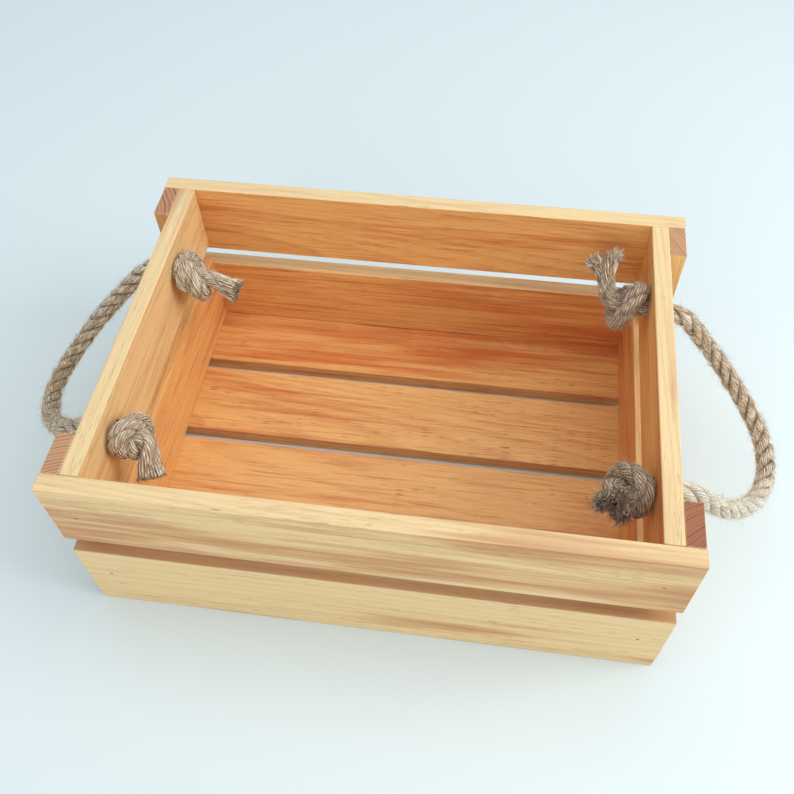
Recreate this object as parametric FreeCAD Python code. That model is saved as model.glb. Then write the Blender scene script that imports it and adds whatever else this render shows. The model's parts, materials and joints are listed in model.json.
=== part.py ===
import FreeCAD, Part

import math
import os

from FreeCAD import Placement, Rotation, Vector

# An open slatted pine crate with two rope handles, each one rope knotted inside the crate.
# Millimetres. The origin is the centre of the underside, X runs along the crate, +Y is its
# back and +Z is up. "left" is -X, "right" is +X, "front" is -Y and "back" is +Y.

# ---------------------------------------------------------------- driving dimensions
LENGTH = 400.0            # every long board runs the full length
DEPTH = 288.6
BOARD = 12.5              # thickness of every board
SLAT_HEIGHT = 63.2        # the four long slats are cut from one stock
SIDE_GAP = 16.9           # finger-wide gap between a side's two long slats
END_GAP = {"left": (81.8, 96.2), "right": (78.7, 99.0)}   # lowest and highest point

POST_THICKNESS = 11.6     # along X
POST_WIDTH = 30.0         # along Y
POST_INSET = 0.4          # the posts stand back this far from the slats' ends

FLOOR_GAP = 9.4
INNER_FLOOR_BOARD = 63.8  # width of the two boards beside the middle gap
FLOOR_INSET = 0.4         # the floor stands back this far from the slats' faces

GRAIN_EDGE = 1.0          # rounding of the edges that run along a board
CUT_EDGE = 0.4            # easing of the edges round a sawn end

BRAD_LENGTH = 30.0
POST_BRAD_LENGTH = 20.0
BRAD_SHANK = (1.25, 1.05)
BRAD_HEAD = (2.2, 1.25, 0.7)  # wide, across and thick
BRAD_SINK = 0.4           # the head is driven this far below the surface
BRAD_PAIR = 24.0          # spacing of the two brads in one end of a floor board
POST_BRAD_DROP = 18.0     # below the middle of the end slat that the brad enters

ROPE_RADIUS = 6.5
ROPE_HOLE_RADIUS = 7.0
HOLE_HEIGHT = 130.0
HOLE_MIDDLE_Y = -4.0      # the pair of holes was drilled a little towards the front
HOLE_HALF_SPACING = 75.5
DRILL_OVERRUN = 12.5      # a rope hole's drill starts and stops this far past the slat
PIVOT_CLEARANCE = 8.0     # from an end slat's outer face to the line the handle turns about
NECK_PROUD = 1.0          # the rope's fixed stretch stands this far out of its hole
ARC_SHARE = 0.45          # share of the shorter run that a route's arc takes up

# Half of each handle's route, from the pivot at a hole to the middle of the loop:
# distance from the holes' middle line, height, distance out from the crate's middle.
LOOP_ROUTE = {
    "left": [(71.5, 118.5, 212.0), (61.5, 103.0, 230.0), (48.0, 88.5, 246.0),
             (29.5, 76.5, 258.5), (9.5, 71.0, 265.3)],
    "right": [(73.5, 117.5, 212.0), (66.0, 97.5, 231.0), (52.5, 80.0, 249.5),
              (32.5, 70.0, 263.8), (11.0, 66.5, 270.4)],
}

# Each knot lies against an end slat's inner face: how far its centre is from the hole's
# along Y and Z, its radius and thickness, and the way its cut tail points and how long
# the tail is from the knot's centre.
KNOTS = {
    "left_front": {"off": (-5.0, 1.5), "radius": 18.0, "thick": 29.0,
                   "tail": (0.55, -0.60, -0.58), "reach": 33.0},
    "left_back": {"off": (-4.0, -0.5), "radius": 19.0, "thick": 27.0,
                  "tail": (0.95, -0.05, -0.30), "reach": 39.0},
    "right_front": {"off": (-5.0, 1.0), "radius": 19.5, "thick": 24.0,
                    "tail": (-0.86, -0.40, 0.30), "reach": 32.0},
    "right_back": {"off": (0.5, 2.5), "radius": 18.0, "thick": 28.0,
                   "tail": (-0.70, 0.55, 0.45), "reach": 34.0},
}
KNOT_SLAT_EDGE = 4.0      # rounding of a knot where it is pulled against the slat
KNOT_OUTER_EDGE = 10.0
TAIL_RADII = (6.6, 7.8)   # a cut tail opens out a little towards its end

# ---------------------------------------------------------------- worked-out dimensions
HALF_LENGTH = LENGTH / 2
HALF_DEPTH = DEPTH / 2
HEIGHT = BOARD + 2 * SLAT_HEIGHT + SIDE_GAP
INNER_HALF_DEPTH = HALF_DEPTH - BOARD
END_OUTER = HALF_LENGTH - POST_INSET - POST_THICKNESS   # an end slat's outer face
END_INNER = END_OUTER - BOARD
END_MIDDLE = END_OUTER - BOARD / 2
PIVOT_X = END_OUTER + PIVOT_CLEARANCE
UPPER_SLAT_BOTTOM = HEIGHT - SLAT_HEIGHT
LOWER_SLAT_TOP = BOARD + SLAT_HEIGHT

SIDES = {"left": -1, "right": 1}
FACES = {"front": -1, "back": 1}

SAME_WAY = 0.9            # cosine above which two directions count as the same
SAME_PLACE = 0.1          # distance below which two points count as the same


# ---------------------------------------------------------------- wood
def eased_board(low, high, grain):
    """A board between two opposite corners, rounded along the grain, eased at its sawn ends."""
    low = Vector(*low)
    size = Vector(*high) - low
    board = Part.makeBox(size.x, size.y, size.z, low)
    along = [edge for edge in board.Edges if abs(edge.tangentAt(0).dot(grain)) > SAME_WAY]
    board = board.makeFillet(GRAIN_EDGE, along)
    ends = [face for face in board.Faces if is_end(face, grain)]
    return board.makeChamfer(CUT_EDGE, [edge for face in ends for edge in face.Edges])


def is_end(face, grain):
    """True for the two flat faces that the grain runs out of."""
    flat = isinstance(face.Surface, Part.Plane)
    return flat and abs(face.normalAt(0, 0).dot(grain)) > SAME_WAY


def long_slat(face_sign, bottom, top):
    """One of the long slats that make the front and back."""
    outer = face_sign * HALF_DEPTH
    inner = face_sign * INNER_HALF_DEPTH
    low = (-HALF_LENGTH, min(outer, inner), bottom)
    high = (HALF_LENGTH, max(outer, inner), top)
    return eased_board(low, high, Vector(1, 0, 0))


def end_slat(side_sign, bottom, top):
    """One of the short slats that close the ends, between the long slats."""
    outer = side_sign * END_OUTER
    inner = side_sign * END_INNER
    low = (min(outer, inner), -INNER_HALF_DEPTH, bottom)
    high = (max(outer, inner), INNER_HALF_DEPTH, top)
    return eased_board(low, high, Vector(0, 1, 0))


def corner_post(side_sign, face_sign):
    """An upright in a corner, outside the end slats and between the long slats."""
    xs = sorted([side_sign * END_OUTER, side_sign * (END_OUTER + POST_THICKNESS)])
    ys = sorted([face_sign * INNER_HALF_DEPTH, face_sign * (INNER_HALF_DEPTH - POST_WIDTH)])
    return eased_board((xs[0], ys[0], BOARD), (xs[1], ys[1], HEIGHT), Vector(0, 0, 1))


def floor_spans():
    """The Y span of each floor board, front to back."""
    inner_low = FLOOR_GAP / 2
    inner_high = inner_low + INNER_FLOOR_BOARD
    outer_low = inner_high + FLOOR_GAP
    outer_high = HALF_DEPTH - FLOOR_INSET
    back = [(inner_low, inner_high), (outer_low, outer_high)]
    front = [(-high, -low) for low, high in reversed(back)]
    return front + back


def floor_board(span):
    low = (-HALF_LENGTH + FLOOR_INSET, span[0], 0)
    high = (HALF_LENGTH - FLOOR_INSET, span[1], BOARD)
    return eased_board(low, high, Vector(1, 0, 0))


# ---------------------------------------------------------------- brads
def placed_box(size, depth, surface, into, wide):
    """A box across a driving line: depth is where it starts below the surface point."""
    box = Part.makeBox(*size, Vector(-size[0] / 2, -size[1] / 2, depth))
    box.Placement = Placement(surface, Rotation(wide, into.cross(wide), into, "ZXY"))
    return box


def brad(surface, into, wide, length):
    """A flat brad driven from a point on a surface, its head sunk below it."""
    head = placed_box(BRAD_HEAD, BRAD_SINK, surface, into, wide)
    start = BRAD_SINK + BRAD_HEAD[2]
    shank = placed_box((*BRAD_SHANK, length - start), start, surface, into, wide)
    return head.fuse(shank).removeSplitter()


def pocket(surface, into, wide):
    """The dent above a sunk head."""
    return placed_box((*BRAD_HEAD[:2], BRAD_SINK), 0, surface, into, wide)


def side_brad_lines(face_sign):
    """Through each long slat's ends into the end slats' end grain."""
    heights = [(BOARD + LOWER_SLAT_TOP) / 2, (UPPER_SLAT_BOTTOM + HEIGHT) / 2]
    into = Vector(0, -face_sign, 0)
    return [(Vector(side * END_MIDDLE, face_sign * HALF_DEPTH, z), into, Vector(1, 0, 0),
             BRAD_LENGTH) for side in SIDES.values() for z in heights]


def post_brad_lines(name):
    """Through each corner post into the two end slats behind it."""
    side = SIDES[name]
    gap_low, gap_high = END_GAP[name]
    heights = [middle - POST_BRAD_DROP
               for middle in ((BOARD + gap_low) / 2, (gap_high + HEIGHT) / 2)]
    outer = side * (END_OUTER + POST_THICKNESS)
    across = INNER_HALF_DEPTH - POST_WIDTH / 2
    return [(Vector(outer, face * across, z), Vector(-side, 0, 0), Vector(0, 0, 1),
             POST_BRAD_LENGTH) for face in FACES.values() for z in heights]


def floor_brad_lines():
    """Up through each end of each floor board into the lower end slats."""
    places = [(low + high) / 2 + shift
              for low, high in floor_spans() for shift in (-BRAD_PAIR / 2, BRAD_PAIR / 2)]
    return [(Vector(side * END_MIDDLE, y, 0), Vector(0, 0, 1), Vector(1, 0, 0), BRAD_LENGTH)
            for side in SIDES.values() for y in places]


def drive(boards, lines):
    """Cuts each brad and its dent out of the boards it enters, and returns the brads."""
    brads = []
    for surface, into, wide, length in lines:
        nail = brad(surface, into, wide, length)
        room = nail.fuse(pocket(surface, into, wide))
        for name, board in boards.items():
            if board.BoundBox.intersect(room.BoundBox):
                boards[name] = board.cut(room)
        brads.append(nail)
    return Part.makeCompound(brads)


# ---------------------------------------------------------------- rope
def hole_y(face_sign):
    return HOLE_MIDDLE_Y + face_sign * HOLE_HALF_SPACING


def rope_hole(side_sign, face_sign):
    """The drill that makes one rope hole in an upper end slat."""
    start = Vector(side_sign * (END_INNER - DRILL_OVERRUN), hole_y(face_sign), HOLE_HEIGHT)
    depth = BOARD + 2 * DRILL_OVERRUN
    return Part.makeCylinder(ROPE_HOLE_RADIUS, depth, start, Vector(side_sign, 0, 0))


def loop_route(name):
    """The handle's whole route, from the front pivot round to the back pivot."""
    side = SIDES[name]
    half = [(HOLE_HALF_SPACING, HOLE_HEIGHT, PIVOT_X)] + LOOP_ROUTE[name]
    front = [Vector(side * out, HOLE_MIDDLE_Y - across, z) for across, z, out in half]
    back = [Vector(side * out, HOLE_MIDDLE_Y + across, z) for across, z, out in half]
    return front + back[::-1]


def corner_arc(before, corner, after):
    """The arc that rounds one corner of a route, its two tangent points and its radius."""
    into = corner - before
    away = after - corner
    turn = into.getAngle(away)
    cut = ARC_SHARE * min(into.Length, away.Length)
    radius = cut / math.tan(turn / 2)
    start = corner - into.normalize() * cut
    end = corner + away.normalize() * cut
    inward = ((start + end) * 0.5 - corner).normalize()
    nearest = corner + inward * (radius / math.cos(turn / 2) - radius)
    return Part.Arc(start, nearest, end), start, end, radius


def route_wire(points):
    """Straight runs joined by tangent arcs, with the arcs' radii."""
    edges = []
    radii = []
    last = points[0]
    for before, corner, after in zip(points, points[1:], points[2:]):
        arc, start, end, radius = corner_arc(before, corner, after)
        edges += [Part.LineSegment(last, start).toShape(), arc.toShape()]
        radii.append(radius)
        last = end
    edges.append(Part.LineSegment(last, points[-1]).toShape())
    return Part.Wire(edges), radii


def round_end(point, outward):
    """Half a ball on the end of a rope, so that it turns about that point in place."""
    return Part.makeSphere(ROPE_RADIUS, point, outward, 0, 90, 360)


def rope_loop(name):
    """The free part of one handle, which swings about the line through its two holes."""
    points = loop_route(name)
    wire, radii = route_wire(points)
    first = (points[1] - points[0]).normalize()
    circle = Part.Wire(Part.makeCircle(ROPE_RADIUS, points[0], first))
    tube = wire.makePipeShell([circle], True, False)
    expected = math.pi * ROPE_RADIUS ** 2 * wire.Length
    print(f"{name} loop: {wire.Length:.1f} mm, volume ratio {tube.Volume / expected:.4f}, "
          f"radii {[round(radius, 1) for radius in radii]}")
    last = (points[-1] - points[-2]).normalize()
    return tube.fuse([round_end(points[0], -first), round_end(points[-1], last)])


def rope_neck(side_sign, face_sign):
    """The rope in its hole, from the knot to just outside the slat."""
    start = Vector(side_sign * END_INNER, hole_y(face_sign), HOLE_HEIGHT)
    return Part.makeCylinder(ROPE_RADIUS, BOARD + NECK_PROUD, start, Vector(side_sign, 0, 0))


def knot_and_tail(side_sign, face_sign, form):
    """An overhand knot's outer shape, and the cut end that stands out of it."""
    off_y, off_z = form["off"]
    inward = Vector(-side_sign, 0, 0)
    base = Vector(side_sign * END_INNER, hole_y(face_sign) + off_y, HOLE_HEIGHT + off_z)
    knot = Part.makeCylinder(form["radius"], form["thick"], base, inward)
    slat_side = [edge for edge in knot.Edges if is_rim(edge, base)]
    knot = knot.makeFillet(KNOT_SLAT_EDGE, slat_side)
    top = base + inward * form["thick"]
    knot = knot.makeFillet(KNOT_OUTER_EDGE, [edge for edge in knot.Edges if is_rim(edge, top)])
    middle = base + inward * (form["thick"] / 2)
    tail = Part.makeCone(*TAIL_RADII, form["reach"], middle, Vector(*form["tail"]))
    return knot, tail.cut(knot)


def is_rim(edge, centre):
    """True for a circle about a point on the knot's axis."""
    if not isinstance(edge.Curve, Part.Circle):
        return False
    return edge.Curve.Center.distanceToPoint(centre) < SAME_PLACE


# ---------------------------------------------------------------- the crate
def make_boards():
    boards = {}
    for face, sign in FACES.items():
        boards[f"{face}_lower_slat"] = long_slat(sign, BOARD, LOWER_SLAT_TOP)
        boards[f"{face}_upper_slat"] = long_slat(sign, UPPER_SLAT_BOTTOM, HEIGHT)
    for side, sign in SIDES.items():
        gap_low, gap_high = END_GAP[side]
        upper = end_slat(sign, gap_high, HEIGHT)
        boards[f"{side}_lower_end_slat"] = end_slat(sign, BOARD, gap_low)
        boards[f"{side}_upper_end_slat"] = upper.cut([rope_hole(sign, f) for f in FACES.values()])
    for side, side_sign in SIDES.items():
        for face, face_sign in FACES.items():
            boards[f"{side}_{face}_post"] = corner_post(side_sign, face_sign)
    for number, span in enumerate(floor_spans(), 1):
        boards[f"floor_board_{number}"] = floor_board(span)
    return boards


def make_brads(boards):
    brads = {f"{face}_brads": drive(boards, side_brad_lines(sign)) for face, sign in FACES.items()}
    for side in SIDES:
        brads[f"{side}_post_brads"] = drive(boards, post_brad_lines(side))
    brads["floor_brads"] = drive(boards, floor_brad_lines())
    return brads


def make_ropes():
    ropes = {}
    for side, side_sign in SIDES.items():
        ropes[f"{side}_rope_loop"] = rope_loop(side)
        for face, face_sign in FACES.items():
            corner = f"{side}_{face}"
            ropes[f"{corner}_rope_neck"] = rope_neck(side_sign, face_sign)
            knot, tail = knot_and_tail(side_sign, face_sign, KNOTS[corner])
            ropes[f"{corner}_knot"] = knot
            ropes[f"{corner}_rope_tail"] = tail
    return ropes


def main():
    os.makedirs("parts", exist_ok=True)
    boards = make_boards()
    brads = make_brads(boards)
    for name, shape in {**boards, **brads, **make_ropes()}.items():
        if not shape.isValid() or not shape.Solids:
            raise ValueError(f"{name} is not a sound solid")
        shape.exportStep(f"parts/{name}.step")


main()
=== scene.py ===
import json
import math

import bpy
import numpy as np
from mathutils import Matrix, Quaternion, Vector


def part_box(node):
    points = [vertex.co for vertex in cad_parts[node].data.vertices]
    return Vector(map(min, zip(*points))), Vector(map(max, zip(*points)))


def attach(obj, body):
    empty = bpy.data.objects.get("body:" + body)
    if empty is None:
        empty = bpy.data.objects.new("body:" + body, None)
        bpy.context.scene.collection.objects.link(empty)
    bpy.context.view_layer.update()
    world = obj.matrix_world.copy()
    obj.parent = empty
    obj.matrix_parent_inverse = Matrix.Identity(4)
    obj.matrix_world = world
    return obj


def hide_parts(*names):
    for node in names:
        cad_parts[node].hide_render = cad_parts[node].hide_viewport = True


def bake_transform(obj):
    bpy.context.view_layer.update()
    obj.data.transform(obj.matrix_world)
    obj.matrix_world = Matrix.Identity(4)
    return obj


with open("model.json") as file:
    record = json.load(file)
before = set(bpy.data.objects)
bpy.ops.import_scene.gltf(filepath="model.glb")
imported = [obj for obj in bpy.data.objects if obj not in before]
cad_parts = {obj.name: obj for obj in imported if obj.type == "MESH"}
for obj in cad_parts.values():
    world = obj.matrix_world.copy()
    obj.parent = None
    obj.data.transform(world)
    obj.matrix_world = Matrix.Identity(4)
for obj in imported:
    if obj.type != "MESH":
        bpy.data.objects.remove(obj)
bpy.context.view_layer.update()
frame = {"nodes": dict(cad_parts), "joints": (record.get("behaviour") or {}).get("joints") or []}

# A slatted pine crate with rope handles. Metres, +Z up, +Y is the crate's back and "left" is -X.
# The boards and brads are the frame's own, with wood and steel laid on them. The ropes, with
# their knots and cut ends, are built here from the frame's holes and knots.

SEED = 11
SIDES = {"left": -1, "right": 1}
FACES = {"front": -1, "back": 1}

# ------------------------ camera and light, values
CAMERA_PLACE = Vector((0.0679, -0.3833, 0.6189))
CAMERA_LOOKS_AT = Vector((0.0000, 0.0084, 0.0780))
CAMERA_ROLL = math.radians(-2.17)
CAMERA_LENS = 40.5        # mm
CAMERA_SENSOR = 36        # mm wide

WORLD_COLOUR = (0.86, 0.94, 1.0, 1)
WORLD_STRENGTH = 0.755
# Soft round panels that face the crate: where each one is, its width, its power and its tint.
PANELS = {
    "top_panel": ((0.1, 0.1, 1.7), 1.4, 6.5, (1.0, 0.99, 0.97)),
    "window_panel": ((1.5, -0.1, 1.15), 1.2, 20, (1.0, 0.98, 0.95)),
    "fill_panel": ((-0.5, -2.6, 1.4), 1.8, 19, (1.0, 0.97, 0.92)),
}
FLOOR_HALF = 3.0
FLOOR_COLOUR = (0.64, 0.72, 0.74, 1)
FLOOR_ROUGHNESS = 0.6

# ------------------------ rope, driving values
ROPE = 0.013              # diameter
ROPE_LAY = 0.0395         # one strand goes once round the rope in this length
STRANDS = 3
# How a strand lies in the rope: from the rope's middle to its own, and half its section out
# from the rope and round it. In a knot the strands are pressed flat against each other.
FREE_STRAND = (0.0033, 0.0032, 0.0037)
KNOTTED_STRAND = (0.0028, 0.0037, 0.0043)
YARNS = 13                # in the outside of one strand
POINTS_PER_YARN = 5
RING_STEP = 0.0010        # spacing of the rings of a strand's mesh
OPEN_END = 0.020          # a cut tail loses its lay over this last stretch
CUT_END = 0.006           # and its yarns end unevenly within this one

# The control points of half of each handle's line, from its hole to the middle of the loop:
# distance from the holes' middle line, height, and distance out from the crate's middle.
LOOP_ROUTE = {
    "left": [(0.0715, 0.1185, 0.2120), (0.0615, 0.1030, 0.2300), (0.0480, 0.0885, 0.2460),
             (0.0295, 0.0765, 0.2585), (0.0095, 0.0710, 0.2653)],
    "right": [(0.0735, 0.1175, 0.2120), (0.0660, 0.0975, 0.2310), (0.0525, 0.0800, 0.2495),
              (0.0325, 0.0700, 0.2638), (0.0110, 0.0665, 0.2704)],
}
HOLE_HALF_SPACING = 0.0755
NECK_OUT = 0.0115         # the rope leaves its hole level, then starts to drop
NECK_DROP = 0.0015

KNOT_PAINTED_SHADE = {"left": 0.12, "right": 0.56}  # how much painted shade darkens them, from 0 to 1; the right ones lie in their slat's shade
KNOT_GAP_SHADE = (60, 38, 20)   # the colour of the painted shade deep between a knot's strands
RIGHT_HANDLE_PAINTED_LIGHT = (-0.010, -0.050)  # painted light: the right handle grows paler between these Ys, where the window's light falls on it

# Each knot: the way its cut tail points, the tail's length from the knot's middle, how far the
# middle hangs from its solid's, its turn about its own line, its hand, its size along that
# line and across it, whether its cut end has opened into a brush, and how much painted shade
# darkens that end's fibres.
KNOTS = {
    "left_front": {"tail": (0.46, -0.63, -0.63), "reach": 0.029, "sag": (0, 0, 0),
                   "roll": 315, "hand": -1, "size": (0.48, 1.00),
                   "frayed": False, "shade": (0.2, 1.0)},
    "left_back": {"tail": (0.97, -0.14, -0.18), "reach": 0.034, "sag": (0, -0.002, -0.001),
                  "roll": 210, "hand": -1, "size": (0.60, 1.22),
                  "frayed": False, "shade": (0.2, 1.0)},
    "right_front": {"tail": (-0.52, -0.74, 0.43), "reach": 0.025, "sag": (0, 0.0015, -0.001),
                    "roll": 150, "hand": 1, "size": (0.62, 1.16),
                    "frayed": True, "shade": (0.0, 1.3)},
    "right_back": {"tail": (-0.54, 0.80, 0.26), "reach": 0.040, "sag": (0.002, 0.001, 0),
                   "roll": 15, "hand": -1, "size": (0.60, 1.22),
                   "frayed": True, "shade": (0.0, 0.45)},
}


# ------------------------ camera, light and floor
def add_camera():
    """The camera, with its small roll about its own line of sight."""
    camera = bpy.data.objects.new("camera", bpy.data.cameras.new("camera"))
    camera.data.lens = CAMERA_LENS
    camera.data.sensor_width = CAMERA_SENSOR
    turn = (CAMERA_LOOKS_AT - CAMERA_PLACE).to_track_quat("-Z", "Y")
    roll = Quaternion((0, 0, 1), CAMERA_ROLL)
    camera.matrix_world = Matrix.Translation(CAMERA_PLACE) @ (turn @ roll).to_matrix().to_4x4()
    bpy.context.collection.objects.link(camera)
    bpy.context.scene.camera = camera


def add_area_light(name, place, size, power, tint):
    """A large soft panel that faces the crate."""
    light = bpy.data.objects.new(name, bpy.data.lights.new(name, "AREA"))
    light.data.shape = "DISK"
    light.data.size = size
    light.data.energy = power
    light.data.color = tint
    light.location = place
    light.rotation_euler = (-Vector(place)).to_track_quat("-Z", "Y").to_euler()
    bpy.context.collection.objects.link(light)


def add_light():
    """Pale light from all round, with soft panels above, on the right and at the front."""
    world = bpy.data.worlds.new("studio")
    world.use_nodes = True
    background = world.node_tree.nodes["Background"]
    background.inputs["Color"].default_value = WORLD_COLOUR
    background.inputs["Strength"].default_value = WORLD_STRENGTH
    bpy.context.scene.world = world
    for name, panel in PANELS.items():
        add_area_light(name, *panel)
    bpy.context.scene.view_settings.view_transform = "Standard"


def add_floor():
    """A plain pale floor."""
    half = FLOOR_HALF
    mesh = bpy.data.meshes.new("floor")
    corners = [(-half, -half, 0), (half, -half, 0), (half, half, 0), (-half, half, 0)]
    mesh.from_pydata(corners, [], [(0, 1, 2, 3)])
    floor = bpy.data.objects.new("floor", mesh)
    bpy.context.collection.objects.link(floor)
    material, n = new_material("floor_paint")
    n.shade(Base_Color=FLOOR_COLOUR, Roughness=FLOOR_ROUGHNESS)
    mesh.materials.append(material)


# ------------------------ node helpers
class Nodes:
    """A short way to write a node tree: every call makes one node and returns its output."""

    def __init__(self, tree):
        self.tree = tree

    def make(self, kind, result=0, settings=None, **inputs):
        """A node of a kind. An input is named, or is i and its number."""
        node = self.tree.nodes.new(kind)
        for name, value in (settings or {}).items():
            setattr(node, name, value)
        for name, value in inputs.items():
            key = int(name[1:]) if name[0] == "i" and name[1:].isdigit() else name.replace("_", " ")
            self.feed(node.inputs[key], value)
        return node.outputs[result]

    def feed(self, socket, value):
        """Gives an input a value, or links another node's output to it."""
        if isinstance(value, bpy.types.NodeSocket):
            self.tree.links.new(value, socket)
        else:
            socket.default_value = value

    def shade(self, **inputs):
        """Feeds inputs of the principled shader."""
        for name, value in inputs.items():
            self.feed(self.surface.inputs[name.replace("_", " ")], value)

    def operate(self, kind, operation, values):
        inputs = {f"i{index}": value for index, value in enumerate(values)}
        return self.make(kind, settings={"operation": operation}, **inputs)

    def math(self, operation, *values):
        return self.operate("ShaderNodeMath", operation, values)

    def vector_math(self, operation, *values):
        return self.operate("ShaderNodeVectorMath", operation, values)

    def measure(self, operation, *values):
        """A vector operation that gives one number."""
        return self.vector_math(operation, *values).node.outputs["Value"]

    def step(self, value, low, high, to_low=0.0, to_high=1.0):
        """A smooth step of the value from low to high."""
        return self.make("ShaderNodeMapRange", settings={"interpolation_type": "SMOOTHSTEP"},
                         Value=value, From_Min=low, From_Max=high, To_Min=to_low, To_Max=to_high)

    def noise(self, place, scale, detail=2.0, rough=0.5, coloured=False):
        return self.make("ShaderNodeTexNoise", 1 if coloured else 0, Vector=place, Scale=scale,
                         Detail=detail, Roughness=rough)

    def mix(self, share, first, second):
        """The first colour, with a share of the second."""
        settings = {"data_type": "RGBA"}
        return self.make("ShaderNodeMix", 2, settings, i0=share, i6=first, i7=second)

    def bump(self, height, strength, distance):
        return self.make("ShaderNodeBump", Strength=strength, Distance=distance, Height=height)

    def join(self, x, y, z):
        return self.make("ShaderNodeCombineXYZ", X=x, Y=y, Z=z)

    def split(self, vector):
        node = self.tree.nodes.new("ShaderNodeSeparateXYZ")
        self.feed(node.inputs[0], vector)
        return node.outputs[:]

    def coordinates(self):
        """The outputs that give a point's place on its object and its normal."""
        return self.tree.nodes.new("ShaderNodeTexCoord").outputs


def new_material(name):
    """A node material and its node helper, which has .surface as the principled shader."""
    material = bpy.data.materials.new(name)
    material.use_nodes = True
    n = Nodes(material.node_tree)
    n.surface = material.node_tree.nodes["Principled BSDF"]
    return material, n


def colour(red, green, blue):
    """A linear colour from 0-255 display values."""
    def linear(value):
        share = value / 255
        return share / 12.92 if share <= 0.04045 else ((share + 0.055) / 1.055) ** 2.4
    return (linear(red), linear(green), linear(blue), 1.0)


# ------------------------ pine
GRAIN_ORDER = {"X": (1, 2, 0), "Y": (0, 2, 1), "Z": (0, 1, 2)}  # across, across, along
# Pine's colours where it is bleached, and where its varnish is deep; the deep colours also stand
# for painted shade inside the crate.
PINE = {
    "honey": ((236, 205, 149), (238, 184, 112)),
    "orange": ((194, 136, 82), (208, 120, 64)),
    "line": ((184, 130, 82), (172, 86, 42)),
    "dark": ((136, 90, 54), (124, 60, 30)),
}
# The colour of painted shade on a top edge under another slat.
GAP_SHADE = (150, 104, 70)
# Weathered grey with a painted sheen, for the rim.
WEATHER_AND_SHEEN = (196, 184, 156)
# The patterns of the wood: how short each one is along the grain, how far aside it is taken,
# and its noise's scale, detail and roughness.
PATTERNS = {
    "wander": (0.12, 0.0, 14.0, 3.0, 0.55),      # of the pith
    "patch": (0.16, 0.0, 26.0, 3.0, 0.55),
    "band": (0.030, 0.1, 170.0, 4.0, 0.6),
    "streak": (0.028, 0.2, 520.0, 3.0, 0.6),
    "fibre": (0.020, 0.3, 1900.0, 2.0, 0.6),
    "fleck": (0.05, 0.6, 1300.0, 2.0, 0.6),
    "duct": (0.04, 0.4, 1900.0, 0.0, 0.5),       # the resin ducts, short and dark
    "crowd": (0.2, 0.5, 45.0, 2.0, 0.5),         # where ducts crowd
}
# Those that are drawn as lines: the values between which one fades in, and how strongly.
LINES = {"streak": (0.53, 0.70, 0.50), "fibre": (0.34, 0.70, 0.26), "fleck": (0.60, 0.74, 0.50)}
LINES_BLEACHED = 0.40     # how much fainter they are where the wood is bleached
DUCTS = (1.00, 1.08)
CROWDING = 0.5
# How strongly late wood and ducts darken the wood, and weather and a painted sheen grey the rim.
LATE_SHARE = 0.28
DUCT_SHARE = 0.65
WEATHER_AND_SHEEN_SHARE = 0.24
# Painted light: the rim, where the light falls on it, is painted less red.
RIM_PAINTED_LIGHT = 0.5           # the share of its redness that a board loses on the rim
PITH_SWAY = 0.010         # how far the pith wanders
RINGS_UNEVEN = 1.3        # how many ring widths a ring can be out of place
LATE_WOOD = (0.30, 0.90)  # the part of a ring over which its wood darkens
RING_CLOSES = (1.0, 0.93)  # and over which it is pale again
FAINTEST_RING = 0.1
FACING = (0.3, 0.8)       # a face looks a way when its normal's share of it passes from, to
END_FACING = (0.6, 0.8)
BLEND_OF_PATCHES = 0.58   # the rest of the red and honey wood's blend is of bands
RED_REACH = 0.12          # how much of that blend a board's redness moves
RED_WOOD = (0.41, 0.61)
LEAST_RED = 0.03
SCRATCH_SLOPE = 0.6       # how steeply scratches cross the grain
SCRATCH_SCALE = 900.0
SCRATCHES = (0.83, 0.89, 0.0, 0.40)


def pattern(n, kind, place, seed, coloured=False):
    """One of the wood's patterns, drawn out along the grain."""
    share, shift, scale, detail, rough = PATTERNS[kind]
    across, aside, along = place
    drawn = n.join(n.math("ADD", across, shift), aside,
                   n.math("MULTIPLY_ADD", along, share, seed * 1.7))
    return n.noise(drawn, scale, detail, rough, coloured)


def late_wood(n, place, cut, seed):
    """The growth rings: pale early wood that darkens to a thin late line, then starts again."""
    across, aside, along = place
    wander = n.split(pattern(n, "wander", place, seed, coloured=True))
    from_pith = []
    for axis, start, drift, sway in zip((across, aside), cut["pith"], PITH_DRIFT, wander):
        straight = n.math("ADD", axis, n.math("MULTIPLY_ADD", along, drift, start))
        from_pith.append(n.math("MULTIPLY_ADD", sway, PITH_SWAY, straight))
    radius = n.measure("LENGTH", n.join(*from_pith, 0.0))
    uneven = n.noise(n.join(radius, seed * 3.1, 0.0), 90.0, 1.0)
    turns = n.math("MULTIPLY_ADD", uneven, RINGS_UNEVEN, n.math("DIVIDE", radius, cut["ring"]))
    part = n.math("FRACT", turns)
    late = n.math("MULTIPLY", n.step(part, *LATE_WOOD), n.step(part, *RING_CLOSES))
    number = n.join(n.math("FLOOR", turns), seed * 0.37, 0.0)
    strong = n.make("ShaderNodeTexWhiteNoise", settings={"noise_dimensions": "2D"}, Vector=number)
    return n.math("MULTIPLY", late,
                  n.math("MULTIPLY_ADD", strong, 1.0 - FAINTEST_RING, FAINTEST_RING))


def looks(n, normal, way, low, high):
    """1 where a face looks a way, fading to 0 as it turns from it."""
    return n.step(n.measure("DOT_PRODUCT", normal, way), low, high)


def outside_faces(n, normal, upward, cut):
    """1 on the faces that are handled and bleached, and on top edges in a gap that get painted
    light;
    0 on those inside the crate, whose deep varnish also paints the shade there.
    """
    # Painted light on the top edges below a gap, where light comes in through it.
    outside = n.math("MULTIPLY", upward, cut["gap_light"])
    for way in cut["outer"]:
        outside = n.math("MAXIMUM", outside, looks(n, normal, way, *FACING))
    return outside


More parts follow.
